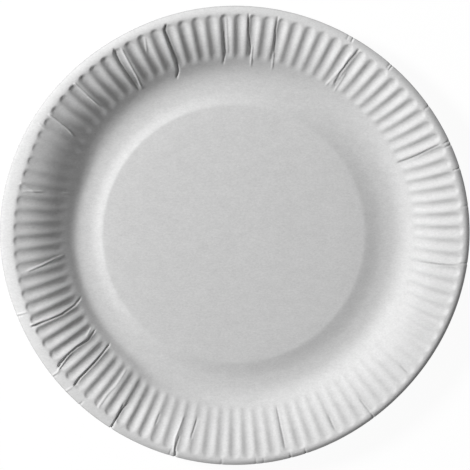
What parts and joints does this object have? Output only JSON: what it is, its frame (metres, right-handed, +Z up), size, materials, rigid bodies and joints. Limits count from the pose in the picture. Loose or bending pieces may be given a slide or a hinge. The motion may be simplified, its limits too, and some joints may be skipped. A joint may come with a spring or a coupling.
{
  "type": "paper plate",
  "caption": "Round disposable plate pressed from one sheet of board, with a raised flat base, a sloping fluted wall and a turned-down rim.",
  "frame": {"origin": "on the plate's own axis, in the plane that it stands on", "axes": "+Z up along the plate's axis, out of the side that is eaten from; +X and +Y each through a crest between two flutes"},
  "size_m": [0.23, 0.23, 0.0185],
  "materials": {
    "paper": "matt"
  },
  "bodies": {
    "root": {"plate": "paper"}
  },
  "joints": []
}
